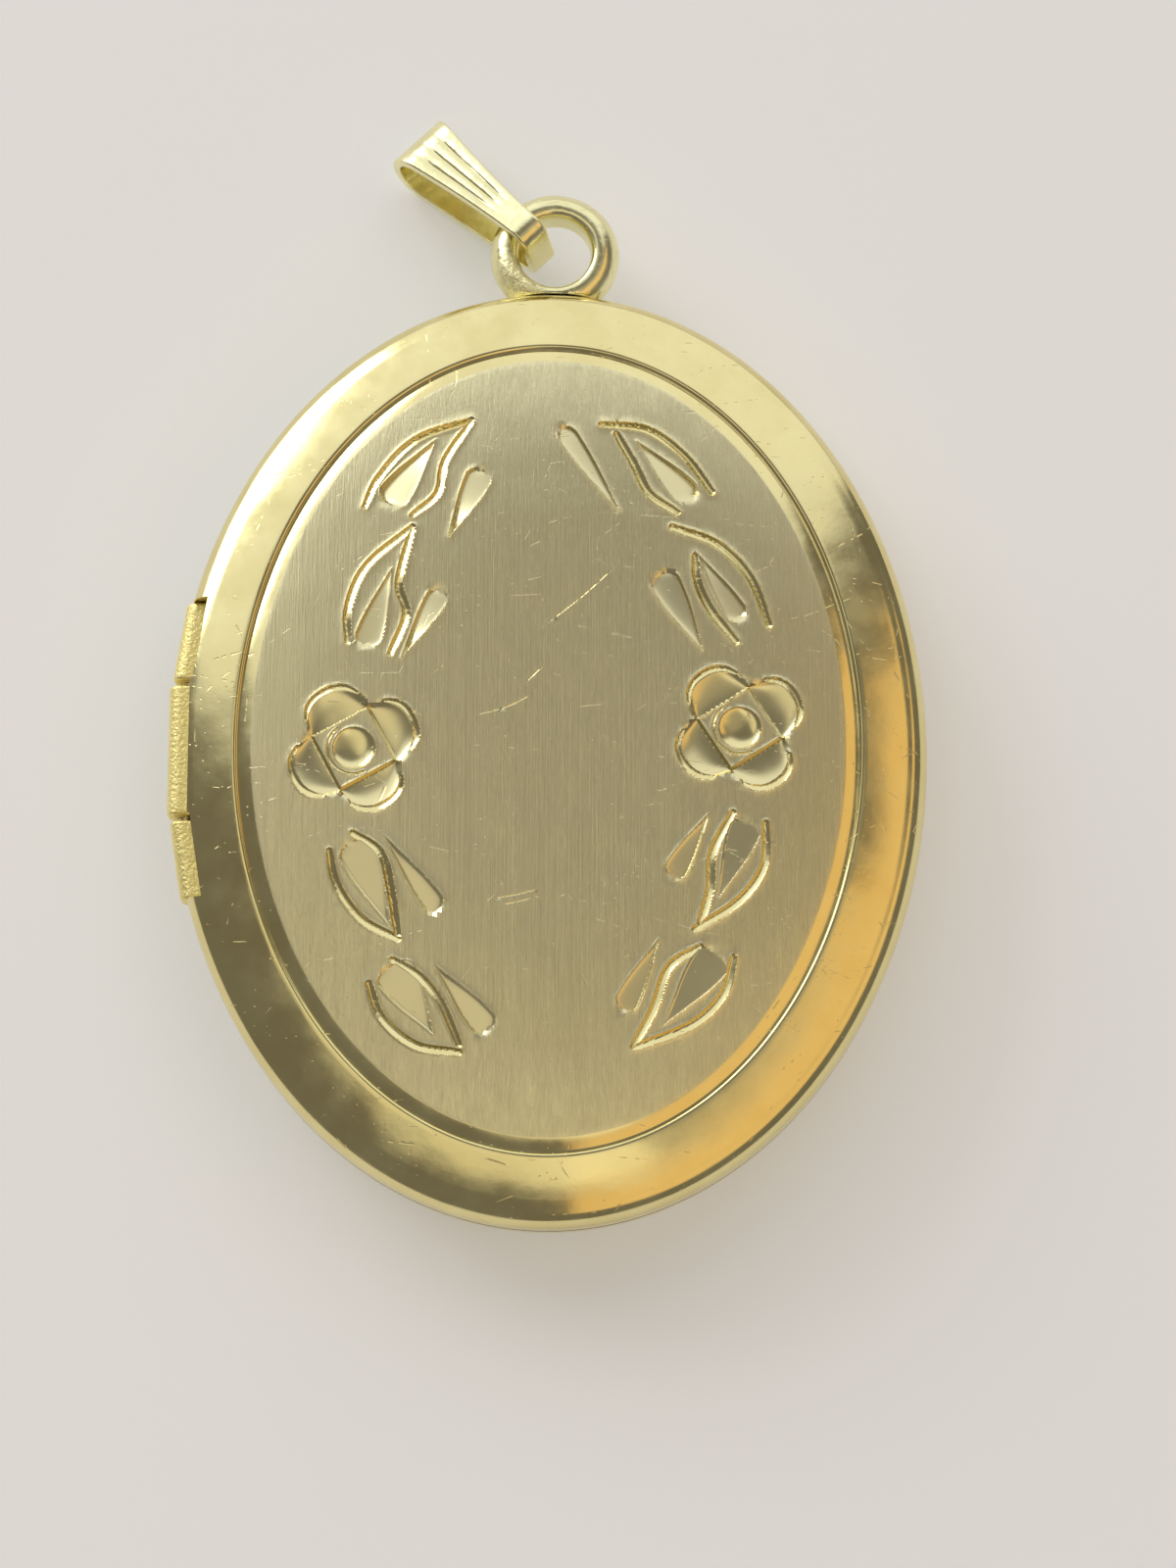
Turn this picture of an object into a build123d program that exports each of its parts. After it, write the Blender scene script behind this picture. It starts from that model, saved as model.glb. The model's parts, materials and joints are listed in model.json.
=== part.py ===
"""Oval hinged photo locket with a fluted bail, in millimetres.

The locket lies on its back.  +Z points out of the front cover, +Y points to the hanging ring and
the hinge is on the -X side.  The origin is the centre of the flat back panel.  Both halves are
designed in one half frame, with the parting plane at z = 0 and the panel above it, and are then
put in place by as_front or as_back.  An inset is a distance from the outline towards the middle.
"""
from build123d import *
import os
from math import asin, degrees, sqrt

# Outline and thickness
body_length = 38.0
body_width = 30.0
half_thickness = 2.8
wall = 0.45

# Rim of a cover
rim_width = 2.72
rim_height = 2.2
shoulder_height = 1.36
shoulder_radius = 1.0
seam_chamfer = 0.1
seam_gap = 0.05

# Groove round the panel, polished band and crowned panel
groove_width = 0.14
groove_depth = 0.12
band_width = 0.5
band_height = 0.2
crown_width = 9.0
back_edge_width = 1.2

# Bezels: flat mating flange, upright wall, ledge for the picture, lip and catch
solder_gap = 0.02
flange_thickness = 0.4
flange_width = 1.3
bezel_wall = 0.3
ledge_width = 1.45
ledge_thickness = 0.25
ledge_height = 0.85
lip_gap = 0.08
lip_thickness = 0.3
lip_height = 0.45
catch_length = 5.0
catch_top = 0.32
catch_height = 0.12
catch_depth = 0.05

# Picture frames, windows and cards
fit_gap = 0.03
frame_foot = 0.82
frame_lip_gap = 0.15
frame_foot_height = 0.28
frame_web = 0.32
frame_flange = 1.02
frame_thickness = 0.24
window_thickness = 0.2
card_thickness = 0.22
layer_gap = 0.02
nail_notch = 1.6

# Hinge
knuckle_size = 1.5
knuckle_corner = 0.5
knuckle_end = 0.15
knuckle_stand_out = 0.12
outer_knuckle = 3.2
outer_set_in = 0.12
middle_knuckle = 5.3
knuckle_gap = 0.2
knuckle_lean = 9.0
running_gap = 0.06
hinge_reveal = 0.17
hinge_land = 1.6
pin_diameter = 0.6
pin_gap = 0.03
pin_reach = 1.1

# Hanging ring
ring_outer = 5.3
ring_wire = 1.15
ring_thickness = 1.7
ring_corner = 0.5
ring_inner_corner = 0.2
ring_set_in = 0.7
ring_offset = 0.2
ring_clearance = 0.08
foot_width = 3.9
foot_height = 1.0

# Bail
bail_length = 7.8
bail_wide = 2.75
bail_narrow = 1.2
bail_neck = 3.0
strap_thickness = 0.38
bail_angle = 54.0
bail_skew = 10.0
bail_wire_gap = 0.2
bail_hole_gap = 0.7
bail_bend_radius = 0.3
bail_rest_gap = 0.05
flute_count = 3
flute_width = 0.3
flute_depth = 0.1
flute_margin = 1.1

# Values that follow from the ones above
parting_height = half_thickness
half_gap = seam_gap / 2
panel_inset = rim_width + groove_width
groove_floor = rim_height - groove_depth
band_top = groove_floor + band_height
flange_inset = wall + solder_gap
bezel_inset = flange_inset + flange_width
lip_inset = bezel_inset + lip_gap
lip_inner_inset = lip_inset + lip_thickness
bezel_wall_inset = bezel_inset - bezel_wall
ledge_top = ledge_height + ledge_thickness
foot_inset = bezel_inset + fit_gap
frame_inset = lip_inner_inset + frame_lip_gap
frame_top = ledge_height - layer_gap
picture_inset = frame_inset + frame_web + fit_gap * 2
knuckle_half = knuckle_size / 2
swing_radius = (knuckle_half - knuckle_corner) * sqrt(2) + knuckle_corner
socket_radius = swing_radius + running_gap
pin_x = -(body_width / 2 + knuckle_stand_out - knuckle_half)
outer_start = middle_knuckle / 2 + knuckle_gap
hinge_half = outer_start + outer_knuckle
ring_y = body_length / 2 + ring_outer / 2 - ring_set_in
far_out = body_width


def oval(inset):
    """The oval outline, moved inwards by inset."""
    return Ellipse(body_width / 2 - inset, body_length / 2 - inset)


def oval_prism(inset, low, high):
    """Upright oval block between two heights."""
    return extrude(Pos(0, 0, low) * oval(inset), amount=high - low)


def oval_band(outer_inset, inner_inset, low, high):
    """Flat oval ring between two insets and two heights."""
    return oval_prism(outer_inset, low, high) - oval_prism(inner_inset, low, high)


def oval_loft(stations, ruled=True):
    """Solid through ovals given as (inset, height) pairs."""
    sections = [Pos(0, 0, height) * oval(inset) for inset, height in stations]
    return loft(sections, ruled=ruled)


def as_front(piece):
    """Move a piece from the half frame to the front half."""
    return Pos(0, 0, parting_height) * piece


def as_back(piece):
    """Turn a piece of the half frame over for the back half."""
    return Pos(0, 0, parting_height) * mirror(piece, about=Plane.XY)


def rim_surface(inset):
    """Height of the sloping rim at an inset."""
    return shoulder_height + (rim_height - shoulder_height) * inset / rim_width


def rim_form():
    """Outer form of the rim: upright wall, rounded shoulder and slope, with a sunk middle."""
    body = oval_prism(0, half_gap, shoulder_height)
    body += oval_loft([(0, shoulder_height), (rim_width, rim_height)])
    shoulder = body.edges().filter_by(lambda edge: abs(edge.center().Z - shoulder_height) < 0.01)
    body = fillet(shoulder, shoulder_radius)
    mouth = body.edges().filter_by(lambda edge: abs(edge.center().Z - half_gap) < 0.01)
    body = chamfer(mouth, seam_chamfer)
    return body - oval_prism(rim_width, groove_floor, rim_height + wall)


def band_form():
    """Polished band that rises from the groove to the panel."""
    return oval_loft([(panel_inset, groove_floor), (panel_inset + band_width, band_top)])


def front_panel():
    """Crowned front panel, steep at its edge and almost flat in the middle."""
    rise = half_thickness - band_top
    start = panel_inset + band_width
    stations = []
    for share in (0, 0.08, 0.25, 0.55, 1):
        drop = (1 - share) ** 2.6
        stations.append((start + crown_width * share, half_thickness - rise * drop))
    return oval_loft(stations, ruled=False)


def back_panel():
    """Back panel: a flat oval that the locket rests on, with a sloping edge."""
    start = panel_inset + band_width
    return oval_loft([(start, band_top), (start + back_edge_width, half_thickness)])


def cavity():
    """Hollow of a cover, a wall's thickness inside its outer form."""
    turn = wall + shoulder_radius * 0.75
    inner = panel_inset + band_width + wall
    stations = [
        (wall, -wall),
        (wall, shoulder_height - shoulder_radius * 0.6),
        (turn, rim_surface(turn) - wall * 1.1),
        (panel_inset, groove_floor - wall),
        (inner, band_top - wall),
        (inner + crown_width * 0.3, half_thickness - wall * 1.15),
    ]
    return oval_loft(stations)


def hinge_bed():
    """Solid land inside a cover, between its wall and its bezel, that carries the hinge."""
    low = flange_thickness + solder_gap
    height = half_thickness - low
    edge = hinge_land - body_width / 2
    block = Pos(edge - far_out / 2, 0, low + height / 2) * Box(
        far_out, hinge_half * 2 + hinge_land, height
    )
    return block - oval_prism(bezel_wall_inset - solder_gap, 0, half_thickness)


def knuckle_frames():
    """Location and y range of each knuckle: the outer two lean inwards along the oval."""
    middle = (Pos(pin_x, 0, 0), -middle_knuckle / 2, middle_knuckle / 2)
    outer_x = pin_x + outer_set_in
    top = (Pos(outer_x, outer_start, 0) * Rot(0, 0, -knuckle_lean), outer_start, hinge_half)
    bottom = (Pos(outer_x, -outer_start, 0) * Rot(0, 0, knuckle_lean), -hinge_half, -outer_start)
    return {"top": top, "middle": middle, "bottom": bottom}


def slab(low, high):
    """Everything between two y values."""
    return Pos(0, (low + high) / 2, 0) * Box(far_out * 2, high - low, far_out)


def hinge_socket():
    """Space that both halves leave free for the knuckles, through their whole swing."""
    reach = hinge_half + running_gap - knuckle_gap
    bar = Rot(90, 0, 0) * Cylinder(socket_radius, reach * 2)
    opening = Pos(hinge_reveal - far_out / 2, 0, 0) * Box(far_out, reach * 2, far_out)
    space = bar + opening
    seam = middle_knuckle / 2 + knuckle_gap / 2
    frames = knuckle_frames()
    cut = frames["middle"][0] * space & slab(-seam, seam)
    cut += frames["top"][0] * space & slab(seam, hinge_half + running_gap)
    cut += frames["bottom"][0] * space & slab(-hinge_half - running_gap, -seam)
    return cut


def cover(panel):
    """One stamped cover with its hollow, hinge bed and hinge socket."""
    body = rim_form() + band_form() + panel
    body -= cavity() - hinge_bed()
    return body - hinge_socket()


def bezel(flange_inner_inset):
    """Flange, wall and ledge that close a cover's mouth and carry its picture."""
    body = oval_band(flange_inset, flange_inner_inset, half_gap, flange_thickness)
    body += oval_band(bezel_wall_inset, bezel_inset, half_gap, ledge_top)
    body += oval_band(bezel_wall_inset, bezel_inset + ledge_width, ledge_height, ledge_top)
    return body


def back_bezel():
    """Back bezel with the lip that enters the front half and the catch opposite the hinge."""
    lip = oval_band(lip_inset, lip_inner_inset, -lip_height, half_gap)
    ridge = oval_band(lip_inset - catch_depth, lip_inset, -catch_top, catch_height - catch_top)
    ridge &= Pos(far_out / 2, 0, 0) * Box(far_out, catch_length, far_out)
    body = bezel(lip_inner_inset) + lip + ridge
    return body - hinge_socket()


def front_bezel():
    """Front bezel, whose opening slides over the lip."""
    return bezel(bezel_inset) - hinge_socket()


def picture_frame():
    """Removable frame: a foot that seats against the bezel and a flange over the window."""
    foot_low = frame_top - frame_foot_height
    body = oval_band(foot_inset, foot_inset + frame_foot, foot_low, frame_top)
    body += oval_band(frame_inset, frame_inset + frame_web, frame_low(), frame_top)
    body += oval_band(
        frame_inset, frame_inset + frame_flange, frame_low(), frame_low() + frame_thickness
    )
    notch_y = -(body_length / 2 - frame_inset - frame_flange)
    return body - Pos(0, notch_y, frame_low()) * Cylinder(nail_notch / 2, frame_thickness * 2)


def frame_low():
    """Height of the face of a picture frame that shows when the locket is open."""
    return frame_top - card_thickness - window_thickness - frame_thickness - layer_gap * 2


def window():
    """Clear acetate oval under the frame's flange."""
    low = frame_low() + frame_thickness + layer_gap
    return oval_prism(picture_inset, low, low + window_thickness)


def card():
    """Blank picture card between the window and the ledge."""
    return oval_prism(picture_inset, frame_top - card_thickness, frame_top)


def knuckle(name, side):
    """One knuckle with rounded ends, its bore and the lug that is soldered to its own half."""
    place, low, high = knuckle_frames()[name]
    length = (hinge_half + running_gap) * 2
    bar = extrude(
        Plane.XZ * RectangleRounded(knuckle_size, knuckle_size, knuckle_corner),
        amount=length / 2, both=True,
    )
    lug_radius = socket_radius - solder_gap
    lug = Rot(90, 0, 0) * Cylinder(lug_radius, length)
    lug &= Pos(hinge_reveal + lug_radius / 2, 0, side * lug_radius / 2) * Box(
        lug_radius, length, lug_radius
    )
    bar = place * bar & slab(low, high)
    ends = bar.edges().filter_by(lambda edge: min(abs(edge.center().Y - y) for y in (low, high)) < 0.01)
    body = fillet(ends, knuckle_end) + (place * lug & slab(low, high))
    bore_depth = outer_start + pin_reach + pin_gap
    bore = Rot(90, 0, 0) * Cylinder(pin_diameter / 2 + pin_gap, bore_depth * 2)
    return Pos(0, 0, parting_height) * (body - Pos(pin_x, 0, 0) * bore)


def hinge_pin():
    """Straight pin through the middle knuckle, held blind in the outer two."""
    pin = Rot(90, 0, 0) * Cylinder(pin_diameter / 2, (outer_start + pin_reach) * 2)
    return Pos(pin_x, 0, parting_height) * pin


def hanging_ring():
    """Soldered ring with its foot, trimmed to the wall of the back and clear of the front."""
    centre_radius = (ring_outer - ring_wire) / 2
    section = Rectangle(ring_wire, ring_thickness)
    section = fillet(section.vertices().group_by(Axis.X)[-1], ring_corner)
    section = fillet(section.vertices().group_by(Axis.X)[0], ring_inner_corner)
    ring = revolve(Plane.XZ * Pos(centre_radius, 0) * section, Axis.Z)
    ring = Pos(ring_offset, ring_y, 0) * ring
    foot_thickness = ring_thickness / 2 - half_gap
    foot = Pos(ring_offset, body_length / 2, -half_gap - foot_thickness / 2) * Box(
        foot_width, foot_height, foot_thickness
    )
    foot = fillet(foot.edges().filter_by(Axis.Z).sort_by(Axis.Y)[-2:], foot_height * 0.45)
    hole = Pos(ring_offset, ring_y, 0) * Cylinder(ring_outer / 2 - ring_wire, half_thickness)
    back_skin = oval_prism(-solder_gap, -half_thickness, -half_gap)
    front_sweep = oval_prism(-ring_clearance, -half_gap, half_thickness)
    body = (ring - back_skin - front_sweep) + (foot - back_skin - hole)
    return Pos(0, 0, parting_height) * body


def flutes(top, start, end):
    """Shallow V cuts that fan out along the front leg of the bail."""
    cuts = []
    for number in range(flute_count):
        share = (number + 1) / (flute_count + 1) * 2 - 1
        narrow_v = share * bail_narrow / 2
        wide_v = share * bail_wide / 2
        tools = []
        for u, v, width in ((start, narrow_v, flute_width / 2), (end, wide_v, flute_width)):
            corners = [(v - width / 2, top), (v + width / 2, top), (v, top - flute_depth)]
            tools.append(Plane.YZ.offset(u) * Polyline(*corners, close=True))
        cuts.append(loft([make_face(tool) for tool in tools], ruled=True))
    return cuts


def bail():
    """Tapered strap folded into a loop round the wire of the ring, with its wide end low."""
    inner_half = ring_thickness / 2 + bail_wire_gap
    outer_half = inner_half + strap_thickness
    near_inner = -(ring_wire / 2 + bail_hole_gap)
    near_outer = near_inner - strap_thickness
    far_outer = near_outer + bail_length
    bend = far_outer - outer_half
    outer = Pos((near_outer + bend) / 2, 0) * Rectangle(bend - near_outer, outer_half * 2)
    outer = fillet(outer.vertices().group_by(Axis.X)[0], bail_bend_radius + strap_thickness)
    outer += Pos(bend, 0) * Circle(outer_half)
    inner = Pos((near_inner + bend) / 2, 0) * Rectangle(bend - near_inner, inner_half * 2)
    inner = fillet(inner.vertices().group_by(Axis.X)[0], bail_bend_radius)
    inner += Pos(bend, 0) * Circle(inner_half)
    loop = extrude(Plane.XZ * (outer - inner), amount=bail_wide, both=True)
    edge = Bezier(
        (near_outer, bail_narrow / 2), (near_outer + bail_neck, bail_narrow / 2),
        (far_outer, bail_wide / 2),
    )
    near_end = Line((near_outer, -bail_narrow / 2), (near_outer, bail_narrow / 2))
    far_end = Line((far_outer, -bail_wide / 2), (far_outer, bail_wide / 2))
    taper = make_face(near_end + edge + far_end + mirror(edge, about=Plane.XZ))
    loop &= extrude(taper, amount=outer_half * 2, both=True)
    loop -= flutes(outer_half, 0, far_outer - flute_margin)
    droop = degrees(asin((parting_height - bail_rest_gap - outer_half) / bend))
    centre_radius = (ring_outer - ring_wire) / 2
    place = Pos(ring_offset, ring_y, parting_height) * Rot(0, 0, 90 + bail_angle)
    return place * Pos(centre_radius, 0, 0) * Rot(0, 0, -bail_skew) * Rot(0, droop, 0) * loop


parts = {
    "back_cover": as_back(cover(back_panel())),
    "back_bezel": as_back(back_bezel()),
    "back_photo_frame": as_back(picture_frame()),
    "back_window": as_back(window()),
    "back_photo_card": as_back(card()),
    "front_cover": as_front(cover(front_panel())),
    "front_bezel": as_front(front_bezel()),
    "front_photo_frame": as_front(picture_frame()),
    "front_window": as_front(window()),
    "front_photo_card": as_front(card()),
    "hinge_knuckle_top": knuckle("top", -1),
    "hinge_knuckle_middle": knuckle("middle", 1),
    "hinge_knuckle_bottom": knuckle("bottom", -1),
    "hinge_pin": hinge_pin(),
    "hanging_ring": hanging_ring(),
    "bail": bail(),
}

os.makedirs("parts", exist_ok=True)
for name, piece in parts.items():
    export_step(piece, f"parts/{name}.step")
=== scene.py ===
"""Looks of the oval photo locket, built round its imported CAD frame.  Lengths are in millimetres
until a mesh is made; MM turns them into metres."""

import json
import math

import bmesh
import bpy
import numpy as np
from mathutils import Euler, Matrix, Vector


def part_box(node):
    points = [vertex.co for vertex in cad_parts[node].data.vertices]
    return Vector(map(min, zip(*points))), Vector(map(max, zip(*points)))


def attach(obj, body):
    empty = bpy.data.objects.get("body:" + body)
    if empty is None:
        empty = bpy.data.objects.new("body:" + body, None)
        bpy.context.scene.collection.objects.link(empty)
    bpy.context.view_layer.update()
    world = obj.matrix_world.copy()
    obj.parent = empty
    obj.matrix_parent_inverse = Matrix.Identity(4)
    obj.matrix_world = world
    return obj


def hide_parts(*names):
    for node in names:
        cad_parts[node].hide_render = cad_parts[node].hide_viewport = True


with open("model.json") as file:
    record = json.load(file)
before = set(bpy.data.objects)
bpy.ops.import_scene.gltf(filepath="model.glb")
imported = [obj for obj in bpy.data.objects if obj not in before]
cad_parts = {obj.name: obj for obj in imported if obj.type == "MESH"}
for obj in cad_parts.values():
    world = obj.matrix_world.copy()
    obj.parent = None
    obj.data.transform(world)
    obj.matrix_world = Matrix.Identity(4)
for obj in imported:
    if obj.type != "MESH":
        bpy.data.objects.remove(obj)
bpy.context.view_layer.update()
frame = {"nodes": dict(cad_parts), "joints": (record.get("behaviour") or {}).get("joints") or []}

MM = 0.001


def joint(name):
    """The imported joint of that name."""
    return next(entry for entry in frame["joints"] if entry["name"] == name)


# ---------------------------------------------------------------- places taken from the frame
COVER_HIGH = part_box("front_cover")[1]
HALF_WIDTH = COVER_HIGH[0] / MM
HALF_LENGTH = COVER_HIGH[1] / MM
PARTING = joint("cover_hinge")["pos_m"][2] / MM
HALF_THICKNESS = COVER_HIGH[2] / MM - PARTING
PIN_X = joint("cover_hinge")["pos_m"][0] / MM
RING_X, RING_Y = (value / MM for value in joint("bail_swing")["pos_m"][:2])

# ---------------------------------------------------------------- sizes of the covers
# Insets go inwards from the outline, and heights go up from the parting plane.
WALL = 0.45
RIM_WIDTH = 2.72
RIM_HEIGHT = 2.2
RIM_BULGE = 0.05
SHOULDER_HEIGHT = 1.36
SHOULDER_RADIUS = 1.0
SEAM_CHAMFER = 0.1
HALF_GAP = 0.025
GROOVE_WIDTH = 0.14
GROOVE_DEPTH = 0.12
BAND_WIDTH = 0.5
BAND_HEIGHT = 0.2
PANEL_INSET = RIM_WIDTH + GROOVE_WIDTH + BAND_WIDTH
PANEL_FOOT = RIM_HEIGHT - GROOVE_DEPTH + BAND_HEIGHT
PANEL_LOWEST = 2.0
CROWN_WIDTH = 9.0
CROWN_POWER = 2.6
BACK_EDGE = 1.2
FRONT_CELLS = (118, 160)
BACK_CELLS = (96, 128)
COVER_SHARP_ANGLE = 28

# ---------------------------------------------------------------- sizes of the hinge sockets
SOCKET_RADIUS = 0.914
HINGE_REVEAL = 0.17
HINGE_SEAM = 2.75
SEAM_STEP = 0.001
HINGE_END = 6.07
KNUCKLE_LEAN = math.radians(9)
LEAN_START = 2.85
OUTER_SET_IN = 0.12

# ---------------------------------------------------------------- sizes of the engraving
# A line's steeper wall faces STEEP_SIDE.  Every cut has walls CUT_WALL wide and a fine burr, and
# the mesh is finer within REFINE_REACH of a cut and finest within EDGE_REACH of its edge, where
# points within SNAP_REACH are moved onto the edge.
STEEP_SIDE = np.array([-0.5, 0.87])
LINE_OFFSET = 0.45
LINE_STEEPNESS = 0.62
LINE_FLOOR = 0.11
LINE_ROUNDNESS = 1.3
CUT_WALL = 0.09
CUT_MATTE = 0.85
PETAL_MATTE = 0.5
DIMPLE_MATTE = 0.25
PETAL_SPREAD = 1.08
PETAL_ROUNDNESS = 2.4
PETAL_OUTLINE = 0.34
DIMPLE_LEAN = np.array([0.6, -0.8])
BURR_HEIGHT = 0.024
BURR_WIDTH = 0.07
REFINE_REACH = 0.18
EDGE_REACH = 0.065
SNAP_REACH = 0.011
SNAP_STEP = 0.002
CURVE_STEPS = 7
FAR = 9.0


def smooth_shade(obj, angle):
    """Smooth shading that keeps the edges sharper than an angle in degrees."""
    mesh = obj.data
    mesh.polygons.foreach_set("use_smooth", [True] * len(mesh.polygons))
    mesh.update()
    mesh.set_sharp_from_angle(angle=math.radians(angle))


def new_object(name, vertices, faces):
    """Mesh object from points in millimetres."""
    mesh = bpy.data.meshes.new(name)
    mesh.from_pydata((np.asarray(vertices, float) * MM).tolist(), [], faces)
    mesh.update()
    obj = bpy.data.objects.new(name, mesh)
    bpy.context.collection.objects.link(obj)
    return obj


def recalc_normals(obj):
    """Point all faces outwards."""
    work = bmesh.new()
    work.from_mesh(obj.data)
    bmesh.ops.recalc_face_normals(work, faces=work.faces)
    work.to_mesh(obj.data)
    work.free()


def apply_modifier(obj, modifier):
    """Apply one modifier of an object."""
    with bpy.context.temp_override(object=obj, active_object=obj, selected_objects=[obj]):
        bpy.ops.object.modifier_apply(modifier=modifier.name)


# ---------------------------------------------------------------- engraving
class Cuts:
    """Depth, burr, gloss and distance to the nearest edge of the engraving at some points."""

    def __init__(self, x, y):
        self.x = x
        self.y = y
        self.depth = np.zeros_like(x)
        self.burr = np.zeros_like(x)
        self.near = np.zeros(x.shape, bool)
        self.edge = np.full_like(x, FAR)
        self.matte = np.zeros_like(x)

    def window(self, points, margin):
        """Indices of the points that lie near some others."""
        low = points.min(axis=0) - margin
        high = points.max(axis=0) + margin
        inside = (self.x > low[0]) & (self.x < high[0]) & (self.y > low[1]) & (self.y < high[1])
        return np.nonzero(inside)[0]

    def spots(self, index):
        """Places of the points with those indices."""
        return np.stack([self.x[index], self.y[index]], axis=1)

    def keep(self, index, depth, edge, matte=0.0, burr=1.0):
        """Take the deepest cut, and raise a burr where edge, the distance to it, is small."""
        wins = depth > self.depth[index]
        self.matte[index[wins]] = matte
        self.depth[index] = np.maximum(self.depth[index], depth)
        raised = burr * BURR_HEIGHT * np.exp(-((edge / BURR_WIDTH) ** 2))
        self.burr[index] = np.maximum(self.burr[index], raised)
        self.near[index[edge < REFINE_REACH]] = True
        closer = np.abs(edge) < np.abs(self.edge[index])
        self.edge[index[closer]] = edge[closer]

    def line(self, points, width=0.36, start=0.75, end=0.75, burr=1.0):
        """V groove along a curve through the points, with its relative widths at both ends."""
        path = curve_through(points)
        index = self.window(path, 1.0)
        spot = self.spots(index)
        best = np.full(len(index), FAR)
        share = np.zeros(len(index))
        side = np.zeros(len(index))
        count = len(path) - 1
        for number in range(count):
            a, b = path[number], path[number + 1]
            run = b - a
            length = np.linalg.norm(run)
            left = np.array([-run[1], run[0]]) / length
            t = np.clip(((spot - a) @ run) / length ** 2, 0, 1)
            gap = np.linalg.norm(spot - a - t[:, None] * run, axis=1)
            closer = gap < best
            best[closer] = gap[closer]
            share[closer] = (number + t[closer]) / count
            toward = np.clip(2 * left @ STEEP_SIDE, -1, 1)
            side[closer] = (np.sign((spot - a) @ left) * toward)[closer]
        swell = np.interp(share, (0, 0.12, 0.5, 0.88, 1), (start, 0.9, 1, 0.9, end))
        half = width / 2 * swell
        lateral = best / half * np.where(side < 0, -1, 1)
        middle = LINE_OFFSET * np.abs(side)
        rise = np.where(lateral > middle, (1 - lateral) / (1 - middle),
                        (1 + lateral) / (1 + middle))
        rounded = 1 - (1 - np.clip(rise, 0, 1)) ** LINE_ROUNDNESS
        depth = np.minimum(rounded * half * LINE_STEEPNESS, LINE_FLOOR)
        self.keep(index, depth, best - half, burr=burr)

    def flat(self, tip, base, width, side, deep=0.17, hollow=0.6, grow_deep=0.65):
        """Hollow cut from a pointed tip to a blunt base, deepest along one edge."""
        swell, blunt = 0.3, 0.86
        tip, base = np.array(tip, float), np.array(base, float)
        index = self.window(np.stack([tip, base]), width + 0.5)
        run = base - tip
        length = np.linalg.norm(run)
        along = run / length
        across = np.array([-along[1], along[0]])
        spot = self.spots(index) - tip
        s = spot @ along / length
        q = spot @ across
        grow = np.clip(s, 0, 1) ** 0.9 * (1 + swell * np.sin(np.pi * np.clip(s, 0, 1)))
        close = np.sqrt(np.clip(1 - np.clip((s - blunt) / (1 - blunt), 0, 1) ** 2, 0, 1))
        half = np.where((s > 0) & (s < 1), width / 2 * grow * close, 0)
        lateral = np.divide(q, half, out=np.full_like(q, FAR), where=half > 1e-4)
        tilt = np.clip(0.5 + 0.5 * side * lateral, 0, 1)
        scoop = 1 - grow_deep * (1 - np.clip(s, 0, 1))
        depth = np.where(np.abs(lateral) < 1, deep * tilt ** hollow * scoop, 0)
        wall = soft_step((1 - np.abs(lateral)) * half / CUT_WALL)
        end_wall = soft_step((1 - s) * length / CUT_WALL)
        edge = np.where(half > 0, (np.abs(lateral) - 1) * half, np.linalg.norm(spot, axis=1))
        self.keep(index, depth * wall * end_wall, edge, matte=CUT_MATTE)

    def petal(self, centre, turn, side, height, deep=0.24):
        """Scooped petal on one side of a turned square, deepest along the square."""
        centre = np.array(centre, float)
        index = self.window(centre[None, :], side / 2 + height + 0.4)
        out = np.array([math.cos(turn), math.sin(turn)])
        along = np.array([-out[1], out[0]])
        spot = self.spots(index) - centre
        v = spot @ out - side / 2
        u = spot @ along
        share = np.abs(2 * u / (side * PETAL_SPREAD))
        dome = height * np.clip(1 - share ** PETAL_ROUNDNESS, 0, 1) ** 0.5
        inside = (v > 0) & (v < dome)
        rise = np.divide(v, dome, out=np.ones_like(v), where=dome > 1e-3)
        rise = np.clip(rise, 0, 1)
        depth = np.where(inside, deep * (1 - rise ** 2.2) * (0.5 + 0.5 * dome / height), 0)
        beyond = np.hypot(np.abs(u) - side * PETAL_SPREAD / 2, v)
        edge = np.where(dome > 0, np.maximum(-v, v - dome), beyond)
        self.keep(index, depth * soft_step(v / CUT_WALL), edge, matte=PETAL_MATTE)
        shares = np.linspace(-0.5, 0.5, 15)
        rim = height * np.clip(1 - np.abs(2 * shares) ** PETAL_ROUNDNESS, 0, 1) ** 0.5
        beside = shares * side * PETAL_SPREAD
        outline = centre + (side / 2 + rim)[:, None] * out + beside[:, None] * along
        self.line(outline[1:-1], width=PETAL_OUTLINE, start=0.6, end=0.6)

    def dimple(self, centre, radius, deep):
        """Round punched dimple with a scooped floor."""
        centre = np.array(centre, float)
        index = self.window(centre[None, :], radius + 0.4)
        spot = self.spots(index) - centre
        gap = np.linalg.norm(spot, axis=1)
        lean = 0.75 + 0.25 * (spot @ DIMPLE_LEAN) / radius
        depth = deep * np.clip(1 - (gap / radius) ** 2, 0, 1) ** 0.6 * lean
        self.keep(index, depth, gap - radius, matte=DIMPLE_MATTE)


def soft_step(share):
    """Smooth step from 0 to 1."""
    share = np.clip(share, 0, 1)
    return share * share * (3 - 2 * share)


def edge_distance(x, y):
    """Signed distance of each point to the nearest edge of a cut."""
    cuts = Cuts(x, y)
    engrave(cuts)
    return cuts.edge


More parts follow.
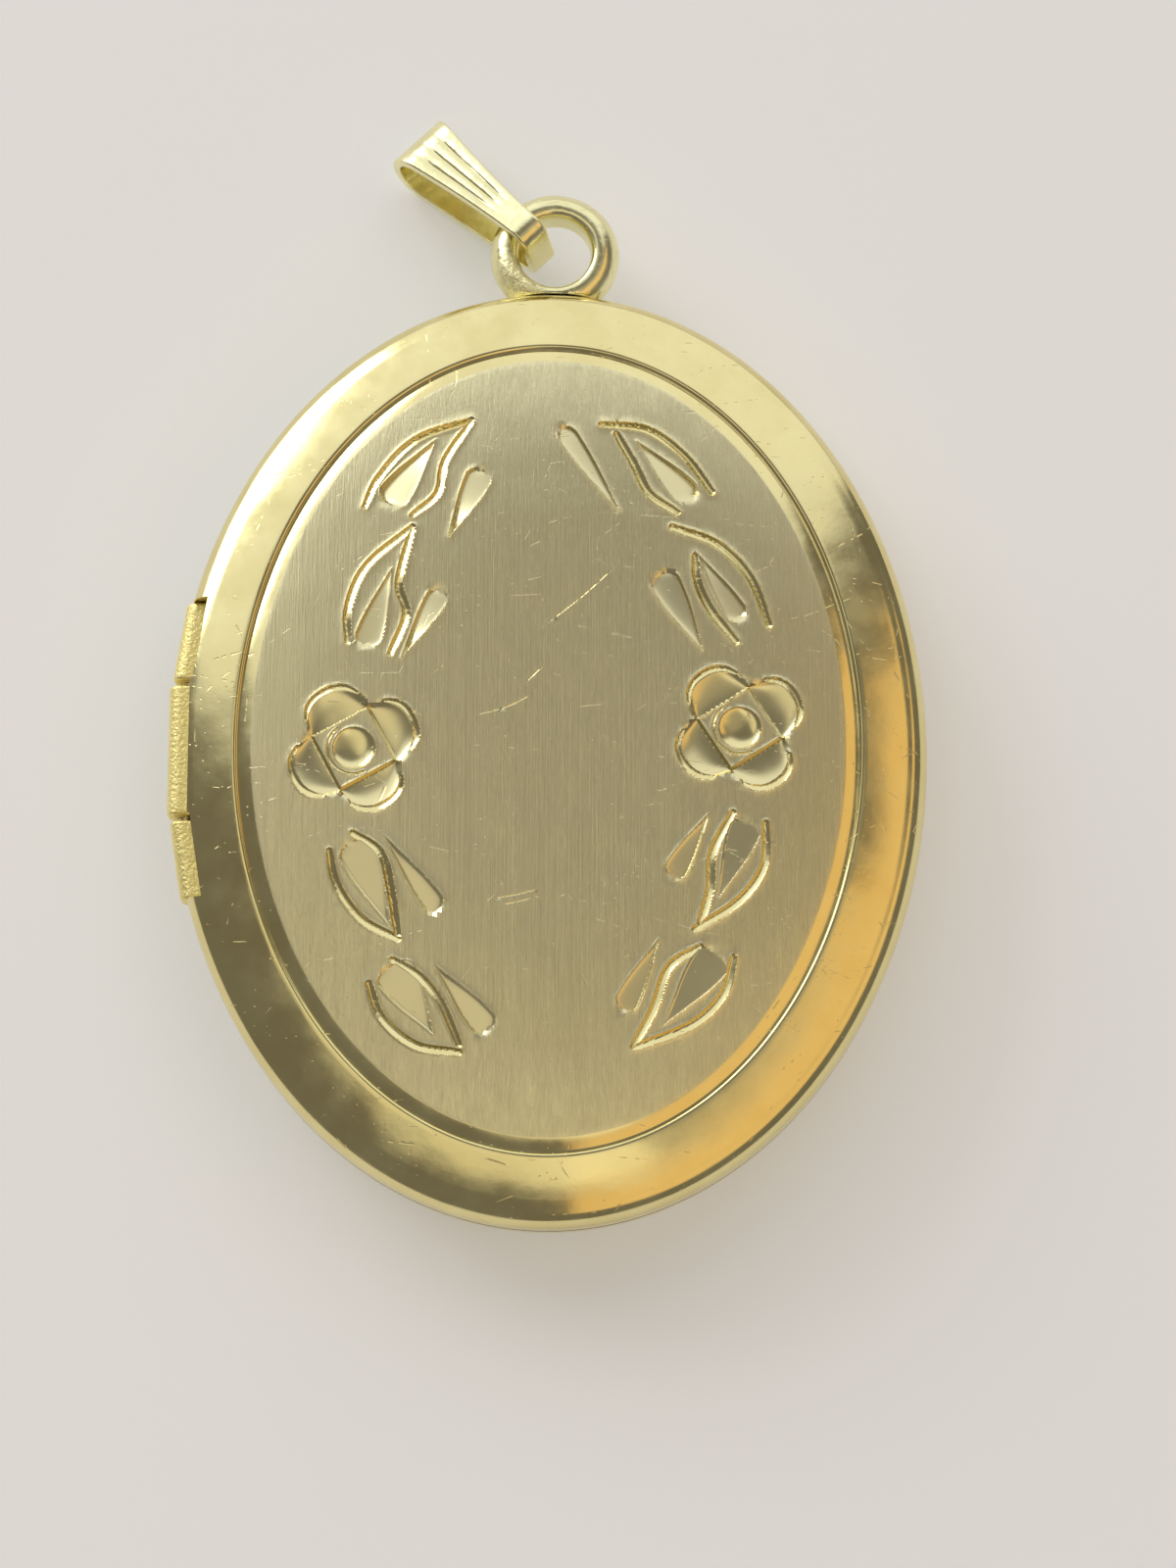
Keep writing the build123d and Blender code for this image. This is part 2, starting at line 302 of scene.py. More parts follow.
def snap_to_edges(x, y):
    """Move the points that lie close to the edge of a cut onto it."""
    here = edge_distance(x, y)
    slope_x = (edge_distance(x + SNAP_STEP, y) - here) / SNAP_STEP
    slope_y = (edge_distance(x, y + SNAP_STEP) - here) / SNAP_STEP
    steep = np.hypot(slope_x, slope_y)
    near = (np.abs(here) < SNAP_REACH) & (steep > 0.6) & (steep < 1.6)
    shift = np.where(near, here / np.maximum(steep, 0.1) ** 2, 0)
    return x - shift * slope_x, y - shift * slope_y


def curve_through(points):
    """Smooth curve through a few points."""
    points = np.asarray(points, float)
    if len(points) < 3:
        return points
    padded = np.vstack([2 * points[0] - points[1], points, 2 * points[-1] - points[-2]])
    out = []
    for number in range(len(points) - 1):
        p0, p1, p2, p3 = padded[number:number + 4]
        for t in np.linspace(0, 1, CURVE_STEPS, endpoint=False):
            out.append(0.5 * (
                2 * p1 + (p2 - p0) * t + (2 * p0 - 5 * p1 + 4 * p2 - p3) * t ** 2
                + (3 * p1 - p0 - 3 * p2 + p3) * t ** 3
            ))
    out.append(points[-1])
    return np.array(out)


# Each leaf: the two lines of its outline, its cut and the small loose cut beside it.  A cut has
# its tip, its base, its width, its deeper side and, where they differ, its depth, its hollowness
# and how much its depth grows from the tip.  Points are from the middle of the panel.
LEAVES = (
    {
        "lines": (((-3.1, 13.1), (-5.3, 12.3), (-6.7, 10.8), (-7.3, 9.5)),
                  ((-3.1, 13.0), (-4.1, 11.4), (-4.4, 10.0), (-5.4, 9.1))),
        "cut": ((-4.5, 12.3), (-6.4, 9.6), 1.35, -1, 0.3, 1.0),
        "loose": ((-4.0, 8.1), (-2.6, 11.0), 1.1, 1, 0.15, 1.0, -0.5),
    },
    {
        "lines": (((-5.4, 8.6), (-7.2, 7.0), (-7.9, 5.3), (-7.9, 3.9)),
                  ((-5.4, 8.5), (-5.9, 6.3), (-5.6, 5.0), (-6.2, 3.4))),
        "cut": ((-6.2, 6.9), (-7.2, 3.7), 1.1, -1),
        "loose": ((-5.8, 3.2), (-4.2, 6.0), 0.9, 1, 0.13, 1.0, -0.5),
    },
    {
        "lines": (((2.1, 12.9), (3.9, 12.7), (5.4, 11.6), (6.5, 10.1)),
                  ((2.7, 12.5), (3.4, 11.2), (4.0, 10.0), (5.1, 9.2))),
        "cut": ((3.5, 12.2), (5.7, 9.8), 1.1, 1, 0.26, 1.0),
        "loose": ((2.9, 9.1), (0.5, 12.8), 0.8, -1),
    },
    {
        "lines": (((4.9, 8.6), (6.7, 7.9), (8.0, 6.5), (8.7, 4.6)),
                  ((5.8, 7.4), (5.9, 6.3), (6.4, 5.2), (7.4, 3.9))),
        "cut": ((5.8, 7.6), (7.6, 4.8), 0.9, 1),
        "loose": ((6.1, 3.5), (4.4, 6.7), 1.2, -1),
    },
    {
        "lines": (((-8.5, -4.5), (-8.2, -5.8), (-7.2, -7.2), (-5.8, -8.0)),
                  ((-7.6, -3.8), (-6.5, -4.6), (-6.1, -6.0), (-5.8, -7.8))),
        "cut": ((-6.1, -7.5), (-7.6, -4.1), 1.5, 1, 0.12, 0.8),
        "loose": ((-6.4, -3.9), (-4.2, -6.9), 0.9, -1),
    },
    {
        "lines": (((-6.9, -9.7), (-6.4, -11.0), (-5.1, -12.1), (-3.4, -12.4)),
                  ((-6.0, -8.8), (-4.9, -9.5), (-4.1, -10.5), (-3.4, -12.1))),
        "cut": ((-4.4, -11.7), (-6.1, -9.0), 1.6, 1, 0.12, 0.8),
        "loose": ((-4.4, -9.0), (-2.2, -11.6), 1.1, -1),
    },
    {
        "lines": (((7.2, -3.0), (6.4, -4.6), (6.3, -6.0), (5.9, -7.4)),
                  ((8.5, -3.4), (8.4, -5.1), (7.4, -6.5), (5.7, -7.6))),
        "cut": ((6.6, -6.4), (7.8, -3.3), 1.3, 1, 0.07, 0.9),
        "loose": ((6.3, -3.0), (4.8, -5.6), 0.95, 1),
    },
    {
        "lines": (((5.9, -8.3), (4.7, -9.1), (4.1, -10.7), (3.3, -12.2)),
                  ((7.2, -8.7), (6.8, -10.1), (5.6, -11.3), (3.4, -12.2))),
        "cut": ((4.5, -11.3), (6.6, -8.5), 1.5, 1, 0.07, 0.9),
        "loose": ((4.3, -8.0), (2.9, -10.8), 0.95, 1),
    },
)
FLOWERS = (
    {"centre": (-7.6, -0.4), "turn": 28, "side": 2.35, "height": 1.38},
    {"centre": (7.5, 0.4), "turn": 33, "side": 2.3, "height": 1.42},
)
SCRATCHES = (
    ((-2.8, 0.9), (-1.6, 1.25), (-0.7, 1.7)),
    ((-0.2, 4.5), (1.3, 5.7), (2.8, 7.1)),
    ((-0.9, 2.2), (-0.2, 2.9)),
    ((-2.0, -6.4), (-1.2, -6.25), (-0.4, -6.05)),
    ((-1.7, -6.65), (-0.6, -6.4)),
)
SCRATCH_WIDTH = 0.055
SCRATCH_BURR = 0.15
PIT = (-7.0, -6.2)
PIT_RADIUS = 0.14
PIT_DEPTH = 0.05
EYE_RADIUS = 0.84
EYE_DEPTH = 0.24
EYE_RING = 1.04
EYE_RING_WIDTH = 0.12


def engrave(cuts):
    """Cut the whole wreath into a depth field."""
    for leaf in LEAVES:
        for points in leaf["lines"]:
            cuts.line(points)
        cuts.flat(*leaf["cut"])
        cuts.flat(*leaf["loose"])
    for flower in FLOWERS:
        for quarter in range(4):
            turn = math.radians(flower["turn"] + 90 * quarter)
            cuts.petal(flower["centre"], turn, flower["side"], flower["height"])
        cuts.dimple(flower["centre"], EYE_RADIUS, EYE_DEPTH)
        around = np.radians(np.arange(130, 310, 15))
        ring = np.stack([np.cos(around), np.sin(around)], axis=1) * EYE_RING
        cuts.line(np.array(flower["centre"]) + ring, width=EYE_RING_WIDTH)
    for points in SCRATCHES:
        cuts.line(points, width=SCRATCH_WIDTH, start=0.3, end=0.3, burr=SCRATCH_BURR)
    cuts.dimple(PIT, PIT_RADIUS, PIT_DEPTH)


# ---------------------------------------------------------------- covers
def oval_inset(x, y):
    """How far inside the outline the oval through each point lies."""
    low = np.zeros_like(x)
    high = np.full_like(x, HALF_WIDTH - 0.01)
    for _ in range(30):
        middle = (low + high) / 2
        outside = (x / (HALF_WIDTH - middle)) ** 2 + (y / (HALF_LENGTH - middle)) ** 2 > 1
        high = np.where(outside, middle, high)
        low = np.where(outside, low, middle)
    return low


def slope(inset):
    """Height of the rim at an inset, very slightly convex."""
    share = inset / RIM_WIDTH
    straight = SHOULDER_HEIGHT + (RIM_HEIGHT - SHOULDER_HEIGHT) * share
    return straight + RIM_BULGE * math.sin(math.pi * share)


def outer_profile():
    """Rim from the edge of the panel out to the mouth, as (inset, height)."""
    floor = RIM_HEIGHT - GROOVE_DEPTH
    panel = RIM_WIDTH + GROOVE_WIDTH
    points = []
    for share in (0.85, 0.65, 0.4, 0.15):
        points.append((panel + BAND_WIDTH * share, floor + BAND_HEIGHT * share ** 0.75))
    points += [(panel - 0.01, floor), (RIM_WIDTH + 0.05, floor + 0.01)]
    rolled_edge = ((0.02, 0.085), (-0.01, 0.05), (-0.05, 0.022), (-0.1, 0.006), (-0.16, 0))
    for beside, drop in rolled_edge:
        points.append((RIM_WIDTH + beside, slope(RIM_WIDTH + beside) - drop))
    turn = math.atan2(RIM_HEIGHT - SHOULDER_HEIGHT, RIM_WIDTH)
    tangent = SHOULDER_RADIUS * math.tan((math.pi / 2 - turn) / 2)
    start = tangent * math.cos(turn)
    for inset in np.linspace(RIM_WIDTH - 0.3, start + 0.1, 8):
        points.append((inset, slope(inset)))
    centre_z = SHOULDER_HEIGHT - tangent
    for angle in np.linspace(math.pi / 2 - turn, 0, 12):
        points.append((SHOULDER_RADIUS - SHOULDER_RADIUS * math.cos(angle),
                       centre_z + SHOULDER_RADIUS * math.sin(angle)))
    points += [(0, centre_z * 0.5), (0, HALF_GAP + SEAM_CHAMFER), (SEAM_CHAMFER, HALF_GAP)]
    return points


def inner_profile():
    """Inside of a cover from its mouth, with the space for the bezel, up to its roof."""
    return [(WALL, HALF_GAP), (WALL, 0.42), (1.43, 0.42), (1.43, 1.12),
            (2.9, 1.5), (4.2, 1.95), (6.0, 2.25)]


def cover_object(name, panel_height, cells, engraved=False):
    """Closed cover: a panel grid on a disc, rings down the rim and back up inside."""
    columns, rows = cells
    u, v = np.meshgrid(np.linspace(-1, 1, columns + 1), np.linspace(-1, 1, rows + 1))
    half_width, half_length = HALF_WIDTH - PANEL_INSET, HALF_LENGTH - PANEL_INSET
    x = (u * np.sqrt(1 - v ** 2 / 2)).ravel() * half_width
    y = (v * np.sqrt(1 - u ** 2 / 2)).ravel() * half_length
    stride = columns + 1
    index = np.arange(stride * (rows + 1)).reshape(rows + 1, stride)
    quads = np.stack([index[:-1, :-1], index[:-1, 1:], index[1:, 1:], index[1:, :-1]], axis=-1)
    faces = quads.reshape(-1, 4).tolist()
    border = np.concatenate([index[0, :-1], index[:-1, -1], index[-1, :0:-1], index[:0:-1, 0]])
    turn = np.arctan2(y[border] / half_length, x[border] / half_width)
    vertices = [np.stack([x, y, np.zeros_like(x)], axis=1)]
    ring = border
    total = len(x)
    for inset, height in outer_profile() + inner_profile():
        around = np.stack([
            (HALF_WIDTH - inset) * np.cos(turn), (HALF_LENGTH - inset) * np.sin(turn),
            np.full(len(turn), height),
        ], axis=1)
        vertices.append(around)
        fresh = np.arange(total, total + len(turn))
        total += len(turn)
        pairs = np.stack([ring, np.roll(ring, -1), np.roll(fresh, -1), fresh], axis=-1)
        faces += pairs[:, ::-1].tolist()
        ring = fresh
    vertices.append(np.array([[0, 0, inner_profile()[-1][1]]]))
    faces += [[total, int(a), int(b)] for a, b in zip(ring, np.roll(ring, -1))]
    obj = new_object(name, np.vstack(vertices), faces)
    panel_count = len(x)
    work = bmesh.new()
    work.from_mesh(obj.data)
    work.verts.ensure_lookup_table()
    flag = work.verts.layers.int.new("panel")
    for number in range(panel_count):
        work.verts[number][flag] = 1
    if engraved:
        refine(work, flag, False)
        refine(work, flag, False)
        refine(work, flag, True)
    set_panel(work, flag, panel_height, engraved)
    bmesh.ops.recalc_face_normals(work, faces=work.faces)
    work.to_mesh(obj.data)
    work.free()
    return obj


def refine(work, flag, along_edges):
    """Halve the panel's cells round the engraving, or only those along the edges of the cuts."""
    verts = [vert for vert in work.verts if vert[flag]]
    x = np.array([vert.co.x for vert in verts]) / MM
    y = np.array([vert.co.y for vert in verts]) / MM
    cuts = Cuts(x, y)
    engrave(cuts)
    chosen = np.abs(cuts.edge) < EDGE_REACH if along_edges else cuts.near
    close = {vert for vert, near in zip(verts, chosen) if near}
    edges = [edge for edge in work.edges if edge.verts[0] in close and edge.verts[1] in close]
    result = bmesh.ops.subdivide_edges(work, edges=edges, cuts=1, use_grid_fill=True)
    for item in result["geom_inner"]:
        if isinstance(item, bmesh.types.BMVert):
            item[flag] = 1


def set_panel(work, flag, panel_height, engraved):
    """Give the panel its crown and its engraving."""
    verts = [vert for vert in work.verts if vert[flag]]
    x = np.array([vert.co.x for vert in verts]) / MM
    y = np.array([vert.co.y for vert in verts]) / MM
    if engraved:
        x, y = snap_to_edges(x, y)
    height = panel_height(oval_inset(x, y))
    if engraved:
        cuts = Cuts(x, y)
        engrave(cuts)
        height = height - cuts.depth + np.where(cuts.depth > 0, 0, cuts.burr)
    for vert, *place in zip(verts, x, y, height):
        vert.co = Vector(place) * MM


def crown(inset):
    """Height of the crowned front panel."""
    share = np.clip((inset - PANEL_INSET) / CROWN_WIDTH, 0, 1)
    return HALF_THICKNESS - (HALF_THICKNESS - PANEL_FOOT) * (1 - share) ** CROWN_POWER


def flat_back(inset):
    """Height of the back panel, flat with a slope at its edge."""
    share = np.clip((inset - PANEL_INSET) / BACK_EDGE, 0, 1)
    return PANEL_FOOT + (HALF_THICKNESS - PANEL_FOOT) * share


def hinge_cutter():
    """Solid that cuts the socket of the knuckles out of a cover."""
    open_angle = math.acos(HINGE_REVEAL / SOCKET_RADIUS)
    reach = HALF_THICKNESS * 2
    outline = [(-reach, -reach), (HINGE_REVEAL, -reach)]
    for angle in np.linspace(-open_angle, open_angle, 17):
        outline.append((SOCKET_RADIUS * math.cos(angle), SOCKET_RADIUS * math.sin(angle)))
    outline += [(HINGE_REVEAL, reach), (-reach, reach)]
    stations = []
    for y in (-HINGE_END, -HINGE_SEAM - SEAM_STEP, -HINGE_SEAM,
              HINGE_SEAM, HINGE_SEAM + SEAM_STEP, HINGE_END):
        leaning = abs(y) > HINGE_SEAM
        shift = OUTER_SET_IN + (abs(y) - LEAN_START) * math.tan(KNUCKLE_LEAN)
        stations.append((y, shift if leaning else 0))
    vertices = [(PIN_X + shift + px, py, pz) for py, shift in stations for px, pz in outline]
    count = len(outline)
    last = len(stations) - 1
    faces = [list(range(count))[::-1], list(range(count * last, count * (last + 1)))]
    for level in range(last):
        for number in range(count):
            a = level * count + number
            b = level * count + (number + 1) % count
            faces.append([a, b, b + count, a + count])
    cutter = new_object("hinge_cutter", vertices, faces)
    recalc_normals(cutter)
    return cutter


def cut_socket(obj):
    """Cut the hinge socket out of a cover in the half frame."""
    cutter = hinge_cutter()
    modifier = obj.modifiers.new("socket", "BOOLEAN")
    modifier.operation = "DIFFERENCE"
    modifier.solver = "MANIFOLD"
    modifier.object = cutter
    apply_modifier(obj, modifier)
    bpy.data.objects.remove(cutter)


def make_covers():
    """Engraved front cover and plain back cover, each in its place."""
    front = cover_object("engraved_front_cover", crown, FRONT_CELLS, engraved=True)
    cut_socket(front)
    front.data.transform(Matrix.Translation((0, 0, PARTING * MM)))
    back = cover_object("plain_back_cover", flat_back, BACK_CELLS)
    cut_socket(back)
    back.data.transform(Matrix.Diagonal((1, 1, -1, 1)))
    back.data.flip_normals()
    back.data.transform(Matrix.Translation((0, 0, PARTING * MM)))
    for obj in (front, back):
        smooth_shade(obj, COVER_SHARP_ANGLE)
    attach(front, "front")
    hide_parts("front_cover")
    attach(back, "back")
    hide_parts("back_cover")
    return front, back


# ---------------------------------------------------------------- hanging ring
RING_CENTRE = 2.075
RING_WIRE = 1.15
RING_THICKNESS = 1.7
RING_CLEARANCE = 0.08
RING_STEPS = 120
WIRE_STEPS = 40
WIRE_DOME = 0.2
SOLDER_SPOT = (-1.5, -1.3)
SOLDER_SPREAD = 0.7
SOLDER_LUMP = 0.045
WORN_LUMP = 0.012
SOLDER_GAP = 0.02
FOOT_WIDTH = 3.9
FOOT_HEIGHT = 0.5
FOOT_EDGE = 0.06
FOOT_CHAMFER = 0.08
FOOT_STEPS = 32


def lumps(x, y, z, seed):
    """Smooth pseudo-random relief between -1 and 1."""
    total = 0
    for number in range(5):
        a, b, c = (math.sin(seed * 7 + number * step) * 4.5 + 1.5 * number
                   for step in (1.7, 2.9, 4.3))
        total = total + np.sin(a * x + b * y + c * z + number * 1.3)
    return total / 5


def covers_wall(x, gap, gap_beside):
    """Distance of the covers' upper wall from their middle, with a gap, at each x."""
    return (HALF_LENGTH + gap) * np.sqrt(1 - (x / (HALF_WIDTH + gap_beside)) ** 2)


def ring_points():
    """Grid of points on the ring of domed wire, with its solder, trimmed to the covers."""
    around = np.radians(np.arange(0, 360, 360 / RING_STEPS))
    turn = np.radians(np.arange(0, 360, 360 / WIRE_STEPS))
    across = np.sign(np.cos(turn)) * np.abs(np.cos(turn)) ** 0.88 * RING_WIRE / 2
    up = np.sign(np.sin(turn)) * np.abs(np.sin(turn)) ** 0.97 * RING_THICKNESS / 2
    across = across - WIRE_DOME * (np.abs(up) * 2 / RING_THICKNESS) ** 1.5
    radius = RING_CENTRE + across[None, :]
    x = radius * np.cos(around)[:, None]
    y = radius * np.sin(around)[:, None]
    z = np.broadcast_to(up[None, :], x.shape)
    solder = np.exp(-((x - SOLDER_SPOT[0]) ** 2 + (y - SOLDER_SPOT[1]) ** 2) / SOLDER_SPREAD)
    dent = SOLDER_LUMP * solder * (lumps(x, y, z, 1) - 0.6)
    dent = dent + WORN_LUMP * (lumps(x * 0.6, y * 0.6, z, 2) - 1)
    x = x * (1 + dent / radius)
    z = z * (1 + dent / (RING_THICKNESS / 2))
    x = x + RING_X
    y = y * (1 + dent / radius) + RING_Y
    gap = np.where(z > -0.05, RING_CLEARANCE, SOLDER_GAP)
    y = np.maximum(y, covers_wall(x, gap, gap))
    return np.stack([x, y, z + PARTING], axis=-1).reshape(-1, 3)


def foot_rows():
    """Rows of points round the foot, from the wall over its rounded top and back to the wall."""
    low, high = PARTING - RING_THICKNESS / 2 + FOOT_EDGE, PARTING - FOOT_EDGE
    beside = np.linspace(-FOOT_WIDTH / 2, FOOT_WIDTH / 2, FOOT_STEPS + 1)
    hole = RING_CENTRE - RING_WIRE / 2
    wall_y = covers_wall(beside + RING_X, SOLDER_GAP, 0)
    top_y = HALF_LENGTH + FOOT_HEIGHT * np.cos(np.pi / 2 * np.abs(2 * beside / FOOT_WIDTH) ** 3)
    hole_y = RING_Y - np.sqrt(np.clip((hole + 0.05) ** 2 - beside ** 2, 0, None))
    top_y = np.where(np.abs(beside) < hole, np.minimum(top_y, hole_y), top_y)
    rows = []
    inner_y = top_y - FOOT_EDGE
    for line_y, height in ((wall_y, low), (inner_y, low), (top_y, low + FOOT_CHAMFER),
                           (top_y, high - FOOT_CHAMFER), (inner_y, high), (wall_y, high)):
        level = np.full(FOOT_STEPS + 1, height)
        rows.append(np.stack([beside + RING_X, np.maximum(line_y, wall_y), level], axis=1))
    return rows


def make_ring():
    """Hanging ring with its solder, and the foot under it."""
    vertices = ring_points()
    index = np.arange(RING_STEPS * WIRE_STEPS).reshape(RING_STEPS, WIRE_STEPS)
    ahead = np.roll(index, -1, axis=0)
    faces = np.stack([index, ahead, np.roll(ahead, -1, axis=1), np.roll(index, -1, axis=1)],
                     axis=-1)
    faces = faces.reshape(-1, 4).tolist()
    rows = foot_rows()
    starts = [len(vertices) + level * (FOOT_STEPS + 1) for level in range(len(rows))]
    for start, after in zip(starts, starts[1:] + starts[:1]):
        for number in range(FOOT_STEPS):
            a, b = start + number, after + number
            faces.append([a, a + 1, b + 1, b])
    faces.append(starts)
    faces.append([start + FOOT_STEPS for start in starts[::-1]])
    obj = new_object("soldered_ring", np.vstack([vertices, *rows]), faces)
    recalc_normals(obj)
    smooth_shade(obj, 50)
    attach(obj, "back")
    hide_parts("hanging_ring")
    return obj


# ---------------------------------------------------------------- bail
BAIL_START = -1.655
BAIL_LENGTH = 7.8
BAIL_HALF = 1.43
BAIL_WIDE = 2.75
BAIL_NARROW = 1.2
BAIL_NECK = 3.0
BAIL_BEND = 0.3
BAIL_ANGLE = 54.0
BAIL_SKEW = 10.0
BAIL_REST_GAP = 0.05
STRAP = 0.38
STRAP_EDGE = 0.11
STRAP_INNER_EDGE = 0.05
CREASES = (-0.47, 0.04, 0.5)
CREASE_DEPTH = 0.07
CREASE_WIDTH = 0.085


def bail_line():
    """Middle line of the folded strap with its outward directions, in the plane of the fold."""
    half = BAIL_HALF - STRAP / 2
    near = BAIL_START + STRAP / 2
    corner = BAIL_BEND + STRAP / 2
    bend = BAIL_START + BAIL_LENGTH - BAIL_HALF
    line = [(u, half, 0, 1) for u in np.linspace(near + corner, bend, 60, endpoint=False)]
    for centre_u, centre_w, radius, start, end, count in (
        (bend, 0, half, 90, -90, 28),
        (near + corner, corner - half, corner, -90, -180, 8),
        (near + corner, half - corner, corner, 180, 90, 8),
    ):
        for turn in np.radians(np.linspace(start, end, count)):
            out_u, out_w = math.cos(turn), math.sin(turn)
            line.append((centre_u + radius * out_u, centre_w + radius * out_w, out_u, out_w))
    return np.array(line[:-1])


def strap_section(half_width, top, edge):
    """Points across one face of the strap, with rounded edges, as (across, out)."""
    turns = np.radians(np.linspace(-90, 0, 6))
    rim = np.stack([edge * np.sin(turns) - half_width + edge,
                    top - edge + edge * np.cos(turns)], axis=1)
    flat = np.linspace(edge - half_width, half_width - edge, 47)[1:-1]
    middle = np.stack([flat, np.full(len(flat), top)], axis=1)
    return np.vstack([rim, middle, rim[::-1] * (-1, 1)])


def make_bail():
    """Folded, fluted strap with rounded edges round the wire of the ring."""
    far = BAIL_START + BAIL_LENGTH
    share = np.linspace(0, 1, 60)
    side_u = BAIL_START + 2 * share * (1 - share) * BAIL_NECK + share ** 2 * BAIL_LENGTH
    side_v = BAIL_NARROW / 2 + (BAIL_WIDE - BAIL_NARROW) / 2 * share ** 2
    vertices = []
    for u, w, out_u, out_w in bail_line():
        for face, edge in ((1, STRAP_EDGE), (-1, STRAP_INNER_EDGE)):
            half_width = np.interp(u + face * out_u * STRAP / 2, side_u, side_v)
            across = strap_section(half_width, STRAP / 2, edge)
            if face > 0 and w > 0:
                fade = soft_step((u - 0.1) / 1.4) * soft_step((far - 0.75 - u) / 1.3)
                spot = across[:, 0] / half_width
                creases = sum(np.exp(-np.abs(spot - crease) / CREASE_WIDTH) for crease in CREASES)
                across[:, 1] -= CREASE_DEPTH * fade * creases
            for v, out in across[::face]:
                vertices.append((u + face * out * out_u, v, w + face * out * out_w))
    count = len(vertices) // len(bail_line())
    faces = []
    total = len(vertices)
    for start in range(0, total, count):
        for number in range(count):
            step = (number + 1) % count
            ahead = (start + count) % total
            faces.append([start + number, start + step, ahead + step, ahead + number])
    obj = new_object("folded_bail", vertices, faces)
    recalc_normals(obj)
    bend = far - BAIL_HALF
    droop = math.asin((PARTING - BAIL_REST_GAP - BAIL_HALF) / bend)
    place = Matrix.Translation(Vector((RING_X, RING_Y, PARTING)) * MM)
    place @= Matrix.Rotation(math.radians(90 + BAIL_ANGLE), 4, "Z")
    place @= Matrix.Translation((RING_CENTRE * MM, 0, 0))
    place @= Matrix.Rotation(math.radians(-BAIL_SKEW), 4, "Z") @ Matrix.Rotation(droop, 4, "Y")
    obj.data.transform(place)
    smooth_shade(obj, 40)
    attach(obj, "bail")
    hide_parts("bail")
    return obj


# ---------------------------------------------------------------- materials
HAIRLINE = 0.005
SPECK = 0.06


class Nodes:
    """Small helper that adds and links shader nodes."""

    def __init__(self, name):
        self.material = bpy.data.materials.new(name)
        self.material.use_nodes = True
        self.tree = self.material.node_tree
        self.shader = self.tree.nodes["Principled BSDF"]
        self.where = self.add("ShaderNodeTexCoord").outputs["Object"]

    def add(self, kind, **values):
        """New node with some of its inputs or properties set."""
        node = self.tree.nodes.new(kind)
        for key, value in values.items():
            if key in node.inputs:
                node.inputs[key].default_value = value
            else:
                setattr(node, key, value)
        return node

    def link(self, source, target):
        self.tree.links.new(source, target)

    def noise(self, scale, stretch=(1, 1, 1), detail=3.0, rough=0.5):
        """Noise value on stretched object coordinates, in features per millimetre."""
        mapping = self.add("ShaderNodeMapping")
        mapping.inputs["Scale"].default_value = [scale / MM * part for part in stretch]
        self.link(self.where, mapping.inputs["Vector"])
        node = self.add("ShaderNodeTexNoise", Scale=1.0, Detail=detail, Roughness=rough)
        self.link(mapping.outputs["Vector"], node.inputs["Vector"])
        return node.outputs["Fac"]

    def ramp(self, value, low, high, start=0.0, end=1.0):
        """Map a value's range to another, clamped."""
        node = self.add("ShaderNodeMapRange")
        node.inputs["From Min"].default_value = low
        node.inputs["From Max"].default_value = high
        node.inputs["To Min"].default_value = start
        node.inputs["To Max"].default_value = end
        self.link(value, node.inputs["Value"])
        return node.outputs["Result"]

    def math(self, operation, a, b):
        """Result of a calculation with two values, each a number or a socket."""
        node = self.add("ShaderNodeMath", operation=operation)
        for number, value in enumerate((a, b)):
            if isinstance(value, (int, float)):
                node.inputs[number].default_value = value
            else:
                self.link(value, node.inputs[number])
        return node.outputs["Value"]

    def tint(self, value, dark, light):
        """Colour that goes from dark to light with a value."""
        node = self.add("ShaderNodeMix", data_type="RGBA")
        node.inputs[6].default_value = (*dark, 1)
        node.inputs[7].default_value = (*light, 1)
        self.link(value, node.inputs[0])
        return node.outputs[2]

    def bump(self, height, distance):
        """Bump of a height in millimetres."""
        node = self.add("ShaderNodeBump", Strength=1.0)
        node.inputs["Distance"].default_value = distance * MM
        self.link(height, node.inputs["Height"])
        self.link(node.outputs["Normal"], self.shader.inputs["Normal"])


def scratches(nodes, scale=0.16):
    """Short hairline scratches in several directions, 0 to 1, in loose clusters."""
    total = None
    for number, angle in enumerate((20, 65, 130)):
        mapping = nodes.add("ShaderNodeMapping")
        mapping.inputs["Rotation"].default_value = (0, 0, math.radians(angle))
        mapping.inputs["Location"].default_value = (3.1 * number, 1.7 * number, 0.3)
        mapping.inputs["Scale"].default_value = (scale / MM, scale * 2.2 / MM, scale / MM)
        nodes.link(nodes.where, mapping.inputs["Vector"])
        web = nodes.add("ShaderNodeTexVoronoi", feature="DISTANCE_TO_EDGE")
        web.inputs["Scale"].default_value = 1
        nodes.link(mapping.outputs["Vector"], web.inputs["Vector"])
        line = nodes.ramp(web.outputs["Distance"], HAIRLINE, HAIRLINE * 0.3)
        gate = nodes.ramp(nodes.noise(0.5 + 0.13 * number, detail=2.0), 0.52, 0.6)
        piece = nodes.ramp(nodes.noise(2.6 + 0.4 * number, detail=1.0), 0.52, 0.58)
        line = nodes.math("MULTIPLY", nodes.math("MULTIPLY", line, gate), piece)
        total = line if total is None else nodes.math("MAXIMUM", total, line)
    return total


